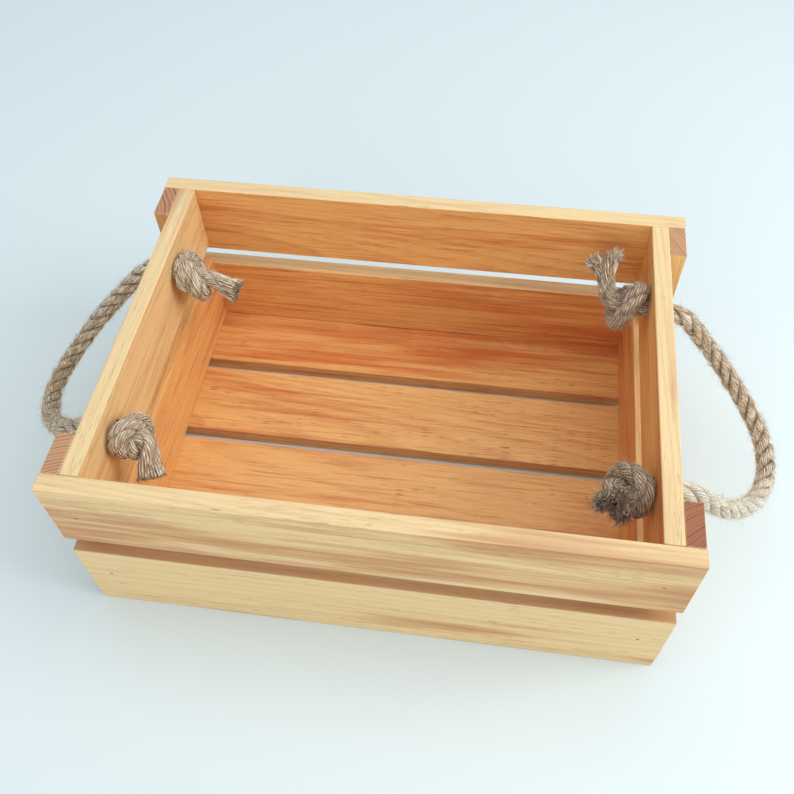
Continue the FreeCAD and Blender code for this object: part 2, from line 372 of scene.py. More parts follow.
def scratches(n, place, seed):
    """A few fine scratches that run across the grain."""
    across, aside, along = place
    tilted = n.join(n.math("MULTIPLY_ADD", along, SCRATCH_SLOPE, across),
                    n.math("MULTIPLY_ADD", along, SCRATCH_SLOPE, aside),
                    n.math("MULTIPLY_ADD", along, 0.05, seed * 2.3))
    return n.step(n.noise(tilted, SCRATCH_SCALE, 0.0), *SCRATCHES)


def long_faces_colour(n, cut, drawn, upward, outside):
    """The colour of a board's long faces, under the varnish that each face has kept."""
    # Deep orange varnish inside the crate, which also paints the shade that falls inside it and in
    # the gaps between boards.
    deep = n.math("MULTIPLY", n.math("SUBTRACT", 1.0, outside), cut["amber_and_shade"])
    honey, orange, line, dark = (n.mix(deep, colour(*paler), colour(*varnished))
                                 for paler, varnished in PINE.values())
    # The rim, the top faces outside: painted less red where the light falls on it, and greyed by
    # weather and a painted sheen.
    rim = n.math("MULTIPLY", upward, outside)
    red_inside, red_outside = cut["red"]
    red = n.math("MULTIPLY_ADD", outside, red_outside - red_inside, red_inside)
    red = n.math("MULTIPLY", red, n.math("MULTIPLY_ADD", rim, -RIM_PAINTED_LIGHT, 1.0))
    blend = n.math("ADD", n.math("MULTIPLY", drawn["patch"], BLEND_OF_PATCHES),
                   n.math("MULTIPLY", drawn["band"], 1.0 - BLEND_OF_PATCHES))
    blend = n.math("ADD", blend, n.math("MULTIPLY_ADD", red, RED_REACH, -RED_REACH))
    wood = n.mix(n.step(blend, *RED_WOOD, LEAST_RED, 1.0), honey, orange)
    wood = n.mix(n.math("MULTIPLY", drawn["late"], LATE_SHARE), wood, line)

    strength = n.math("MULTIPLY_ADD", outside, -LINES_BLEACHED, 1.0)
    for kind, (low, high, share) in LINES.items():
        lines = n.math("MULTIPLY", n.step(drawn[kind], low, high, 0.0, share), strength)
        wood = n.mix(lines, wood, line)
    wood = n.mix(n.math("MULTIPLY", drawn["ducts"], DUCT_SHARE), wood, dark)
    # Painted shade on a top edge that the slat above it shades.
    wood = n.mix(n.math("MULTIPLY", upward, cut["gap_shade"]), wood, colour(*GAP_SHADE))
    # Weathered grey and a painted sheen on the rim.
    wood = n.mix(n.math("MULTIPLY", rim, WEATHER_AND_SHEEN_SHARE), wood, colour(*WEATHER_AND_SHEEN))
    return n.mix(drawn["scratches"], wood, honey)


def cut_end_colour(n, cut, place, late):
    """The colour of a cut end, which drinks the varnish: rings stand out, with pores between."""
    across, aside, _ = place
    pores = n.noise(n.join(across, aside, 0.0), 2600.0, 2.0, 0.6)
    pale, line = (colour(*shade) for shade in cut["ends"])
    wood = n.mix(n.step(late, 0.10, 0.60, 0.0, 0.75), pale, line)
    return n.mix(n.step(pores, 0.45, 0.7, 0.0, 0.35), wood, line)


def pine_material(name, cut, middle, seed):
    """Solid pine: growth rings round a pith line, seen wherever a face cuts them.

    The varnish is still deep and orange inside the crate, where it also paints the shade, and
    bleached outside and on the rim, where the rim also gets painted light and a painted sheen.
    """
    material, n = new_material(name)
    coordinates = n.coordinates()
    normal = coordinates["Normal"]
    axes = n.split(n.vector_math("SUBTRACT", coordinates["Object"], middle))
    place = [axes[index] for index in GRAIN_ORDER[cut["grain"]]]

    drawn = {kind: pattern(n, kind, place, seed) for kind in PATTERNS if kind != "wander"}
    late = drawn["late"] = late_wood(n, place, cut, seed)
    crowded = n.math("MULTIPLY_ADD", drawn["crowd"], CROWDING, drawn["duct"])
    drawn["ducts"] = n.step(crowded, *DUCTS)
    drawn["scratches"] = scratches(n, place, seed)

    along_grain = tuple(1.0 if axis == cut["grain"] else 0.0 for axis in "XYZ")
    low, high = END_FACING
    cut_end = n.math("ADD", looks(n, normal, along_grain, low, high),
                     looks(n, normal, along_grain, -low, -high))
    upward = looks(n, normal, (0.0, 0.0, 1.0), *FACING)
    outside = outside_faces(n, normal, upward, cut)
    wood = n.mix(cut_end, long_faces_colour(n, cut, drawn, upward, outside),
                 cut_end_colour(n, cut, place, late))

    # Satin oil: late wood is a little shinier, cut ends are dull.
    rough = n.math("MULTIPLY_ADD", drawn["fibre"], 0.16, 0.38)
    rough = n.math("MULTIPLY_ADD", late, -0.08, rough)
    rough = n.math("MULTIPLY_ADD", cut_end, 0.25, rough)

    # Late wood and fibres stand up, and the ducts are sunk.
    height = n.math("MULTIPLY_ADD", late, 0.4, n.math("MULTIPLY", drawn["fibre"], 0.7))
    height = n.math("SUBTRACT", height, n.math("MULTIPLY", drawn["ducts"], 0.8))
    n.shade(Base_Color=wood, Roughness=rough, Specular_IOR_Level=0.42,
            Normal=n.bump(height, 0.35, 0.00025))
    return material


# The colours of cut ends: pale wood, then the rings.
TAN_ENDS = ((188, 144, 106), (148, 98, 68))
OTHER_ENDS = {"left_back_post": ((182, 130, 98), (124, 74, 54)),
              "right_front_post": ((158, 100, 70), (104, 58, 40))}
# What each board is cut from: the way its inner side looks, how deep its varnish is there,
# which also paints the shade inside the crate (little on the left upper end slat's inner side,
# where the light falls), how much of it is red inside and outside, where the pith lies from the
# board's middle, and the ring spacing.
BOARDS = {
    "front_upper_slat": ((0, 1, 0), 1.0, (0.9, 1.0), (-0.030, -0.052), 0.0042),
    "front_lower_slat": ((0, 1, 0), 1.0, (1.0, 0.25), (-0.060, 0.040), 0.0050),
    "back_upper_slat": ((0, -1, 0), 1.0, (0.45, 0.6), (0.045, 0.030), 0.0040),
    "back_lower_slat": ((0, -1, 0), 1.0, (0.9, 0.2), (0.050, -0.045), 0.0046),
    "left_upper_end_slat": ((1, 0, 0), 0.15, (0.0, 0.3), (-0.055, 0.020), 0.0048),
    "left_lower_end_slat": ((1, 0, 0), 0.95, (0.45, 0.5), (-0.050, -0.030), 0.0044),
    "right_upper_end_slat": ((-1, 0, 0), 1.0, (0.75, 0.35), (0.042, -0.025), 0.0045),
    "right_lower_end_slat": ((-1, 0, 0), 1.0, (0.75, 0.3), (0.050, 0.030), 0.0042),
    "left_front_post": ((1, 0, 0), 0.6, (0.4, 0.5), (-0.030, 0.045), 0.0024),
    "left_back_post": ((1, 0, 0), 0.6, (0.4, 0.5), (0.050, 0.020), 0.0030),
    "right_front_post": ((-1, 0, 0), 0.6, (0.4, 0.5), (-0.038, 0.034), 0.0018),
    "right_back_post": ((-1, 0, 0), 0.6, (0.4, 0.5), (0.060, 0.030), 0.0026),
    "floor_board_1": ((0, 0, 1), 0.95, (0.45, 0.5), (0.020, -0.060), 0.0046),
    "floor_board_2": ((0, 0, 1), 0.9, (0.3, 0.5), (-0.025, -0.050), 0.0050),
    "floor_board_3": ((0, 0, 1), 0.9, (0.3, 0.5), (0.030, 0.055), 0.0044),
    "floor_board_4": ((0, 0, 1), 1.0, (0.7, 0.5), (-0.020, 0.050), 0.0040),
}
# How much painted light the top edges below a gap get, where light comes in through it, and
# how much painted shade, where the slat above shades them.
GAP_EDGES_LIT = {"back_lower_slat": 0.6, "right_lower_end_slat": 0.5, "front_lower_slat": 0.3}
GAP_EDGES_SHADED = {"front_lower_slat": 0.6}
PITH_DRIFT = (0.04, 0.05)  # the pith drifts this far across per length of board
FLUSH = 0.001             # a side this near the boards' common box is on its outside


def outer_ways(inner, low, high, box_low, box_high):
    """The ways that a board's outside faces look: away from its inner side, or flush."""
    ways = [tuple(-share for share in inner)]
    for axis in range(3):
        for mine, whole, sign in ((low, box_low, -1.0), (high, box_high, 1.0)):
            if abs(mine[axis] - whole[axis]) < FLUSH:
                ways.append(tuple(sign if index == axis else 0.0 for index in range(3)))
    return ways


def give_material(node, material):
    """Puts one material on a node of the frame."""
    node.data.materials.clear()
    node.data.materials.append(material)


def finish_boards():
    """Gives every board wood of its own."""
    boxes = {name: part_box(name) for name in BOARDS}
    box_low = [min(low[axis] for low, _ in boxes.values()) for axis in range(3)]
    box_high = [max(high[axis] for _, high in boxes.values()) for axis in range(3)]
    for seed, (name, (inner, amber_and_shade, red, pith, ring)) in enumerate(BOARDS.items(), 1):
        low, high = boxes[name]
        size = high - low
        cut = {"grain": "XYZ"[list(size).index(max(size))], "amber_and_shade": amber_and_shade,
               "red": red, "pith": pith, "ring": ring, "ends": OTHER_ENDS.get(name, TAN_ENDS),
               "outer": outer_ways(inner, low, high, box_low, box_high),
               "gap_light": GAP_EDGES_LIT.get(name, 0.0), "gap_shade": GAP_EDGES_SHADED.get(name, 0.0)}
        middle = tuple((low + high) / 2)
        give_material(frame["nodes"][name], pine_material(f"pine_{name}", cut, middle, float(seed)))


# ------------------------ brads
STEEL = (34, 31, 29)
RUST = (44, 28, 20)


def steel_material():
    """Wire steel gone dark and dull, a little rusty where it has met damp wood."""
    material, n = new_material("brad_steel")
    place = n.coordinates()["Object"]
    stain = n.step(n.noise(place, 900.0, 3.0), 0.42, 0.62)
    drawn = n.noise(n.vector_math("MULTIPLY", place, (1.0, 1.0, 0.1)), 4000.0)
    n.shade(Base_Color=n.mix(stain, colour(*STEEL), colour(*RUST)),
            Roughness=n.step(stain, 0.0, 1.0, 0.60, 0.85),
            Metallic=n.step(stain, 0.0, 1.0, 0.60, 0.2), Normal=n.bump(drawn, 0.3, 0.0001))
    return material


def finish_brads():
    """Gives all brads the same steel."""
    steel = steel_material()
    for name, node in frame["nodes"].items():
        if name.endswith("_brads"):
            give_material(node, steel)


# ------------------------ jute
JUTE_SHADOW = (92, 64, 38)


def jute_material(name, knot_shade=0.0, gap=JUTE_SHADOW, paler=None):
    """Jute: pale fibres that run with the yarns, painted shade in the grooves between them, and
    painted glints and flecks of shadow.

    The second argument darkens it all with painted shade, warm with light off the wood, as on
    knots in shade, and the third is the colour of the painted shade deep between the strands
    and yarns. The last gives the Ys between which it is painted paler: painted light, where
    the window's light falls on part of a handle.
    """
    material, n = new_material(name)
    fibre_at = n.make("ShaderNodeAttribute", 1, {"attribute_name": "fibre"})
    groove = n.make("ShaderNodeAttribute", 2, {"attribute_name": "groove"})
    place = n.coordinates()["Object"]
    fine = n.noise(fibre_at, 2600.0, 3.0, 0.65)
    yarn = n.noise(fibre_at, 620.0, 2.0, 0.55)
    fleck = n.noise(n.vector_math("MULTIPLY", fibre_at, (1.0, 1.0, 3.5)), 1250.0, 1.0, 0.5)
    patch = n.noise(place, 70.0, 2.0)

    base = n.mix(n.step(yarn, 0.36, 0.64), colour(208, 182, 144), colour(248, 238, 216))
    base = n.mix(n.step(patch, 0.40, 0.65, 0.0, 0.5), base, colour(210, 180, 142))
    base = n.mix(n.step(fine, 0.40, 0.60, 0.60, 0.0), base, colour(142, 112, 80))
    # Painted shade, warm with the light the wood throws back: the knots are darkened by their
    # share.
    base = n.mix(knot_shade, base, colour(134, 90, 46))
    # Painted glints on the yarns, fewer on the shaded knots, then painted dark flecks of shadow.
    base = n.mix(n.step(fleck, 0.57, 0.66, 0.0, 0.80 - 0.5 * knot_shade), base, colour(255, 248, 232))
    base = n.mix(n.step(fleck, 0.43, 0.34, 0.0, 0.80), base, colour(*JUTE_SHADOW))
    # Painted shade deep in the grooves between strands and yarns, and on the cut fibres.
    base = n.mix(n.math("MULTIPLY", groove, 0.88), base, colour(*gap))
    # Painted light: part of the right handle paler, where the window's light falls on it.
    if paler:
        fade = n.step(n.split(place)[1], *paler, 0.0, 0.32)
        base = n.mix(fade, base, colour(250, 252, 240))
    n.shade(Base_Color=base, Roughness=0.75, Sheen_Weight=0.25, Sheen_Roughness=0.5,
            Normal=n.bump(fine, 0.8, 0.0005))
    return material


# ------------------------ rope
LINE_RESOLUTION = 24      # of the NURBS lines that ropes follow
ANY_WAY = (0.31, 0.22, 0.93)  # along no rope, to take a first normal from
RING = YARNS * POINTS_PER_YARN  # points in one ring round a strand
RING_ANGLE = 2 * math.pi * np.arange(RING) / RING
YARN_AT = np.arange(RING) // POINTS_PER_YARN  # the yarn that each point of a ring is on
CREST = np.abs(np.sin(YARNS * RING_ANGLE / 2))  # 1 on top of a yarn, 0 between two
CREST_SHAPE = 0.7
FLARE_SHAPE = 1.5
UNLAID = 0.9              # the share of its twist that an open end loses
FANNED = 0.35             # how much thicker its strands get there, for a flare of 1
# A strand's unevenness, as shares of its size or in metres.
STRAND_SWAY = 0.05
STRAND_SWAY_LENGTH = 0.031
YARN_PROUD = 0.018
YARN_SWELL = 0.05
YARN_SWELL_LENGTHS = (0.007, 0.026)
YARN_GROOVE = 0.17
YARN_GROOVE_OPEN = 0.20   # added where the end is open
YARN_CUT = (-0.0018, 0.0006)  # how short or long each yarn is cut
# How much painted shade darkens the grooves: between strands, nearer the rope's middle than this,
# and yarns.
STRAND_GROOVE_FROM = 0.0056
STRAND_GROOVE_DEPTH = 0.0016
YARN_GROOVE_SHAPE = 1.5
YARN_GROOVE_SHADE = 0.8
# Where the jute's pattern is taken: how far it runs along a yarn, and the strands' spacing.
PATTERN_ALONG = 0.05
PATTERN_APART = 0.02


def smooth_line(points, name):
    """The points of a NURBS line with these control points, close together."""
    curve = bpy.data.curves.new(name, "CURVE")
    curve.dimensions = "3D"
    curve.resolution_u = LINE_RESOLUTION
    spline = curve.splines.new("NURBS")
    spline.points.add(len(points) - 1)
    for point, place in zip(spline.points, points):
        point.co = (*place, 1.0)
    spline.order_u = 3
    spline.use_endpoint_u = True
    holder = bpy.data.objects.new(name, curve)
    bpy.context.collection.objects.link(holder)
    bpy.context.view_layer.update()
    mesh = bpy.data.meshes.new_from_object(holder)
    line = np.array([vertex.co for vertex in mesh.vertices])
    bpy.data.objects.remove(holder)
    bpy.data.meshes.remove(mesh)
    return line


def evenly(line, step):
    """The same line with its points a step apart."""
    runs = np.linalg.norm(np.diff(line, axis=0), axis=1)
    far = np.concatenate([[0.0], np.cumsum(runs)])
    places = np.linspace(0.0, far[-1], int(round(far[-1] / step)) + 1)
    return np.stack([np.interp(places, far, line[:, axis]) for axis in range(3)], axis=1)


def unit_rows(vectors):
    """Each row of an array of vectors, at length 1."""
    return vectors / np.linalg.norm(vectors, axis=1, keepdims=True)


def carried_frames(line):
    """Tangents and two normals at each point, carried along the line without twist."""
    tangents = unit_rows(np.gradient(line, axis=0))
    normals = np.empty_like(line)
    normal = np.cross(tangents[0], ANY_WAY)
    for index, tangent in enumerate(tangents):
        normal = normal - tangent * (normal @ tangent)
        normal /= np.linalg.norm(normal)
        normals[index] = normal
    return tangents, normals, np.cross(tangents, normals)


def end_share(far, stretch, flare):
    """From 0 to 1 over the last stretch of a line, if it has a flare and so an open end."""
    return np.clip(1 - (far[-1] - far) / stretch, 0, 1) if flare else np.zeros(len(far))


def lay(line, form, phase, flare):
    """Each strand's middle, way out, way round and turn along a line, and how open it lies."""
    _, first, second = carried_frames(line)
    far = np.arange(len(line)) * RING_STEP
    loose = end_share(far, OPEN_END, flare)
    laid = np.cumsum(1 - UNLAID * np.sqrt(loose)) * RING_STEP / ROPE_LAY
    ways = []
    for strand in range(STRANDS):
        turn = phase + 2 * math.pi * (strand / STRANDS + laid)
        out = np.cos(turn)[:, None] * first + np.sin(turn)[:, None] * second
        side = -np.sin(turn)[:, None] * first + np.cos(turn)[:, None] * second
        middle = line + out * (form[0] * (1 + flare * loose ** FLARE_SHAPE))[:, None]
        ways.append((middle, out, side, turn + 2 * math.pi * laid))
    return ways, loose


def strand_rings(way, form, tangents, loose, flare, rng):
    """The rings of points round one strand. Its yarns turn the other way from the strands."""
    middle, out, side, turn = way
    _, half_high, half_wide = form
    far = np.arange(len(middle)) * RING_STEP
    sway = np.sin(2 * math.pi * far / STRAND_SWAY_LENGTH + rng.uniform(0, 6.3))
    middle = middle + out * (STRAND_SWAY * half_high * sway)[:, None]
    local = RING_ANGLE[None, :] - turn[:, None]
    waves = rng.uniform(0, 2 * math.pi, YARNS)
    lengths = rng.uniform(*YARN_SWELL_LENGTHS, YARNS)
    swell = np.sin(far[:, None] * 2 * math.pi / lengths[YARN_AT] + waves[YARN_AT])
    proud = rng.normal(0, YARN_PROUD, YARNS)[YARN_AT]
    deep = (YARN_GROOVE + YARN_GROOVE_OPEN * loose)[:, None]
    size = 1 - deep * (1 - CREST[None, :] ** CREST_SHAPE) + YARN_SWELL * swell * CREST[None, :]
    size = (size + proud) * (1 + FANNED * flare * loose)[:, None]
    high = (half_high * size * np.cos(local))[..., None]
    wide = (half_wide * size * np.sin(local))[..., None]
    rings = middle[:, None, :] + high * out[:, None, :] + wide * side[:, None, :]
    uneven = rng.uniform(*YARN_CUT, YARNS)[YARN_AT]
    cut = end_share(far, CUT_END, flare)
    return rings + (cut[:, None] * uneven[None, :])[..., None] * tangents[:, None, :]


def strand_grooves(rings, line):
    """How deep each point lies between strands or yarns, from 0 to 1, which sets its painted shade.
    """
    reach = np.linalg.norm(rings - line[:, None, :], axis=2)
    between = np.clip((STRAND_GROOVE_FROM - reach) / STRAND_GROOVE_DEPTH, 0, 1)
    own = np.broadcast_to((1 - CREST[None, :]) ** YARN_GROOVE_SHAPE, between.shape)
    return np.maximum(between, YARN_GROOVE_SHADE * own).reshape(-1)


def strand_fibres(count, strand, half_wide):
    """Where the jute's pattern is taken at each point of a strand of so many rings."""
    shape = (count, RING)
    far = np.arange(count) * RING_STEP
    x = np.broadcast_to(half_wide * np.cos(RING_ANGLE)[None, :], shape)
    y = np.broadcast_to(half_wide * np.sin(RING_ANGLE)[None, :], shape)
    along = np.broadcast_to(far[:, None] * PATTERN_ALONG, shape)
    return np.stack([x + PATTERN_APART * strand, y, along], axis=-1).reshape(-1, 3)


def strand_faces(count, start):
    """The sides and end caps of a strand of so many rings, whose first vertex is start."""
    corner = start + np.arange(RING)
    following = start + (np.arange(RING) + 1) % RING
    last = (count - 1) * RING
    rows = [np.stack([corner + near, following + near,
                      following + near + RING, corner + near + RING], axis=1)
            for near in range(0, last, RING)]
    return np.concatenate(rows).tolist(), [corner[::-1].tolist(), (corner + last).tolist()]


def strands(line, form, phase, rng, flare=0.0):
    """The surface of a laid rope along a line: vertices, faces, fibre places and grooves."""
    line = evenly(line, RING_STEP)
    ways, loose = lay(line, form, phase, flare)
    tangents = carried_frames(line)[0]
    count = len(line)
    vertices, fibres, grooves, faces, caps = [], [], [], [], []
    for strand, way in enumerate(ways):
        rings = strand_rings(way, form, tangents, loose, flare, rng)
        vertices.append(rings.reshape(-1, 3))
        grooves.append(strand_grooves(rings, line))
        fibres.append(strand_fibres(count, strand, form[2]))
        sides, ends = strand_faces(count, strand * count * RING)
        faces.extend(sides)
        caps.extend(ends)
    return (np.concatenate(vertices), faces + caps, np.concatenate(fibres),
            np.concatenate(grooves))


HAIR_JOINTS = 5
HAIR_SIDES = 3
HAIR_CURL = 0.35
HAIR_WANDER = 0.10
HAIR_TAPER = 0.75         # the share of its thickness that a hair has lost before its tip
PATTERN_SPREAD = 0.05     # how far apart the hairs' places in the jute's pattern are


def hair_faces(count):
    """The faces of so many three-sided hairs, closed at the root and pointed at the tip."""
    faces = []
    for ring in range(HAIR_JOINTS - 1):
        low = HAIR_SIDES * ring
        for corner in range(HAIR_SIDES):
            after = (corner + 1) % HAIR_SIDES
            faces.append((low + corner, low + after, low + HAIR_SIDES + after,
                          low + HAIR_SIDES + corner))
    tip = HAIR_SIDES * HAIR_JOINTS
    last = tip - HAIR_SIDES
    faces += [(last + corner, last + (corner + 1) % HAIR_SIDES, tip)
              for corner in range(HAIR_SIDES)]
    faces.append(tuple(reversed(range(HAIR_SIDES))))
    return [[index + hair * (tip + 1) for index in face] for hair in range(count) for face in faces]


def hairs(roots, ways, lengths, thick, rng, curl=HAIR_CURL):
    """Thin loose fibres, each from its root along its way, wandering to a point."""
    count = len(roots)
    ways = unit_rows(ways)
    bend = rng.normal(0, curl, (count, 3))
    points = [roots]
    for _ in range(HAIR_JOINTS):
        ways = unit_rows(ways + bend + rng.normal(0, HAIR_WANDER, (count, 3)))
        points.append(points[-1] + ways * (lengths / HAIR_JOINTS)[:, None])
    points = np.stack(points, axis=1)
    along = points[:, -1] - points[:, 0]
    first = unit_rows(np.cross(along, rng.normal(0, 1, (count, 3))))
    second = np.cross(unit_rows(along), first)
    vertices = []
    for ring in range(HAIR_JOINTS):
        taper = thick * (1 - HAIR_TAPER * ring / HAIR_JOINTS)
        for corner in range(HAIR_SIDES):
            angle = 2 * math.pi * corner / HAIR_SIDES
            offset = math.cos(angle) * first + math.sin(angle) * second
            vertices.append(points[:, ring] + taper[:, None] * offset)
    vertices.append(points[:, HAIR_JOINTS])
    per_hair = len(vertices)
    vertices = np.stack(vertices, axis=1).reshape(-1, 3)
    places = np.repeat(rng.uniform(-1, 1, (count, 3)), per_hair, axis=0) * PATTERN_SPREAD
    return vertices, hair_faces(count), places, np.zeros(len(vertices))


def rope_object(name, surface, material):
    """A mesh object of a rope surface, with its fibre and groove values."""
    vertices, faces, fibres, grooves = surface
    mesh = bpy.data.meshes.new(name)
    mesh.from_pydata(vertices.tolist(), [], faces)
    place = mesh.attributes.new("fibre", "FLOAT_VECTOR", "POINT")
    place.data.foreach_set("vector", fibres.astype(np.float32).ravel())
    depth = mesh.attributes.new("groove", "FLOAT", "POINT")
    depth.data.foreach_set("value", grooves.astype(np.float32))
    mesh.polygons.foreach_set("use_smooth", [True] * len(mesh.polygons))
    mesh.materials.append(material)
    piece = bpy.data.objects.new(name, mesh)
    bpy.context.collection.objects.link(piece)
    return piece


# ------------------------ handles
HANDLE_PHASE = 0.4        # where round the rope its first strand starts
LEVEL_UNTIL = 0.0010      # its line is level to this far inside the slat's outer face
DRAWN_IN = 0.0003         # and has drawn in by this much at NECK_OUT
FUZZ_FROM = 0.003         # the loose fibres start this far outside the slat
FUZZ_MARGIN = 4           # and this many ring steps from a line's two ends
FUZZ_LEAST = 0.003
FUZZ_LENGTHS = (1.1, 3.2)  # shape of the spread of lengths: most are short
FUZZ_THICKNESS = (0.6, 1.2)
FUZZ_ALONG = 0.8
FUZZ_ASIDE = 0.5
# The loose fibres of a handle: how many, the longest, their thickness, how far they lift off
# it, how far out they start, and how they curl. Some stand off it, and some lie on it.
HANDLE_FUZZ = ((2200, 0.012, 0.00010, 0.55, 0.0055, HAIR_CURL),
               (1800, 0.009, 0.00014, 0.12, 0.0063, 0.12))


def slat_faces(side):
    """How far the inner and outer faces of a side's upper end slat are from the middle."""
    low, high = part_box(f"{side}_upper_end_slat")
    return sorted((abs(low.x), abs(high.x)))


def holes_middle(side):
    """The height and Y of the line through a side's two holes."""
    joint = next(j for j in frame["joints"] if j["name"] == f"{side}_handle_swing")
    return joint["pos_m"][2], joint["pos_m"][1]


def handle_points(side):
    """The control points of a handle's line, through the slat at both ends."""
    inner, outer = slat_faces(side)
    height, middle_y = holes_middle(side)
    neck = [(HOLE_HALF_SPACING, height, inner), (HOLE_HALF_SPACING, height, outer - LEVEL_UNTIL),
            (HOLE_HALF_SPACING - DRAWN_IN, height - NECK_DROP, outer + NECK_OUT)]
    half = neck + LOOP_ROUTE[side]
    sign = SIDES[side]
    front = [(sign * out, middle_y - across, up) for across, up, out in half]
    back = [(sign * out, middle_y + across, up) for across, up, out in half]
    return front + back[::-1]


def loose_fibres(line, count, longest, thick, stand, surface, rng):
    """Hairs all along a rope: their roots, ways, lengths and thicknesses.

    stand says how far they lift off it, from 0 to about 1, and surface how far out they start.
    """
    line = evenly(line, RING_STEP)
    tangents, first, second = carried_frames(line)
    at = rng.integers(FUZZ_MARGIN, len(line) - FUZZ_MARGIN, count)
    angle = rng.uniform(0, 2 * math.pi, count)
    out = np.cos(angle)[:, None] * first[at] + np.sin(angle)[:, None] * second[at]
    side = np.cross(tangents[at], out)
    lean = rng.choice((-1, 1), count)[:, None] * tangents[at]
    roots = line[at] + out * surface
    ways = stand * out + FUZZ_ALONG * lean + side * rng.normal(0, FUZZ_ASIDE, count)[:, None]
    lengths = FUZZ_LEAST + (longest - FUZZ_LEAST) * rng.beta(*FUZZ_LENGTHS, count)
    return roots, ways, lengths, thick * rng.uniform(*FUZZ_THICKNESS, count)


def add_handle(side, material):
    """One rope loop, from the inner face of the slat round and back, with its loose fibres."""
    rng = np.random.default_rng(SEED + SIDES[side])
    _, outer = slat_faces(side)
    line = smooth_line(handle_points(side), f"{side}_handle_line")
    surface = strands(line, FREE_STRAND, HANDLE_PHASE, rng)
    rope = rope_object(f"{side}_handle_rope", surface, material)

    free = line[np.abs(line[:, 0]) > outer + FUZZ_FROM]
    fuzz = [hairs(*loose_fibres(free, *kind, rng), rng, curl) for *kind, curl in HANDLE_FUZZ]
    fibres = rope_object(f"{side}_handle_fibres", joined(fuzz), material)

    for piece in (rope, fibres):
        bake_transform(piece)
    necks = [f"{side}_{face}_rope_neck" for face in FACES]
    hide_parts(f"{side}_rope_loop", *necks)


# ------------------------ knots
# A knot is tied and tightened in rope diameters.
LINK = 0.33               # spacing of its points
KNOT_SPAN = (-0.95, 1.2)  # the part of its line that is the knot, not its two ends
SLACK_SIZE = 0.5
SLACK_OPENS = 0.12        # the part of a turn, in radians, where its ends are led in and out
ROPE_TOUCH = 0.80         # middles this far apart touch: rope pressed on rope gives a little
BEND_RADIUS = 0.52        # no bend of its line is tighter
NEAR = 1.35               # points within this many touches are kept apart
APART_ALONG = 1.5         # unless they are within this many touches along the rope
PULLS = 1500
PULL = 0.2                # how far each end is drawn out in one pull
PULL_UNTIL = 1.06         # and how far the links may be stretched while it is
ENDS_CENTRED = 0.97
SETTLINGS = 8             # after each pull
STIFFNESS = 0.02

# How a tied knot is laid against its slat, in metres unless it says otherwise.
KNOT_LEAN = 0.15          # its own line leans this share from the hole's towards its tail
KNOT_SEATED = 0.46        # its nearest middle line is this many diameters from the slat
HOLE_MOUTH = 0.0030       # its line starts this far inside the hole
BRIDGE_PULL = 0.9         # how strongly a bridge keeps the ways of its ends
BRIDGE_POINTS = {"in": 3, "out": 4}
FLARES = {True: 1.5, False: 0.95}  # how far the strands part at a frayed or a clean cut
# Its loose fibres, as a handle's.
KNOT_FUZZ = ((500, 0.011, 0.00012, 0.5, 0.0052), (700, 0.011, 0.00012, 0.12, 0.0062))
KNOT_FUZZ_FROM = 0.004    # how far inside the slat's inner face they start
KNOT_FUZZ_AHEAD = 0.006   # one that would be in the slat this far along its way is left out
KNOT_FUZZ_CLEAR = 0.001
# The yarns at a cut, opened into a brush or trimmed: how many from each strand, how far back
# their roots lie, how they spread, scatter and curl, and how long they are at most.
CUTS = {True: {"count": 300, "back": 0.006, "spread": 120.0, "scatter": 0.24, "length": 0.0085,
               "curl": 0.16},
        False: {"count": 130, "back": 0.002, "spread": 30.0, "scatter": 0.08, "length": 0.0034,
                "curl": 0.08}}
CUT_BACK_LEAST = 0.001
CUT_ROOTS = 0.92          # the share of a strand's section that its roots fill
CUT_PARTING = 0.5         # how far the strands' yarns lean apart, for a flare of 1
CUT_LENGTHS = (0.35, 1.0)
CUT_THICKNESS = (0.00012, 0.00034)


def slack_knot():
    """A slack overhand knot in rope diameters, with its ends led out along X."""
    turn = np.linspace(math.pi + SLACK_OPENS, 3 * math.pi - SLACK_OPENS, 400)
    size = SLACK_SIZE
    bights = size * np.stack([np.sin(turn) + 2 * np.sin(2 * turn),
                              np.cos(turn) - 2 * np.cos(2 * turn), -np.sin(3 * turn)], axis=1)
    start = [(4.0, -4.5 * size - 1.0, 0), (1.2, -4.5 * size - 0.7, 0), (0.0, -4.0 * size, 0)]
    end = [(0.0, -4.6 * size - 1.2, 0.3), (-1.2, -4.5 * size - 1.3, 0.3),
           (-4.0, -4.5 * size - 1.0, 0)]
    return evenly(np.vstack([start, bights, end]), LINK)


def push_apart(points, one, other, least, share, exact=False):
    """Moves pairs of points towards their distance, or only apart where they are too near."""
    between = points[other] - points[one]
    long = np.linalg.norm(between, axis=1)
    gap = least - long if exact else np.maximum(least - long, 0)
    move = (share * gap / np.maximum(long, 1e-9))[:, None] * between
    np.add.at(points, one, -move)
    np.add.at(points, other, move)


def settle(points, links, bends, near):
    """Lets a knot's line keep its length, its least bend and its thickness."""
    tightest = 2 * LINK * math.cos(LINK / (2 * BEND_RADIUS))
    for _ in range(SETTLINGS):
        for group in links:
            push_apart(points, group, group + 1, LINK, 0.5, exact=True)
        for group in bends:
            push_apart(points, group, group + 2, tightest, 0.5)
        push_apart(points, *near, ROPE_TOUCH, 0.25)
    points[1:-1] += STIFFNESS * (points[:-2] + points[2:] - 2 * points[1:-1])


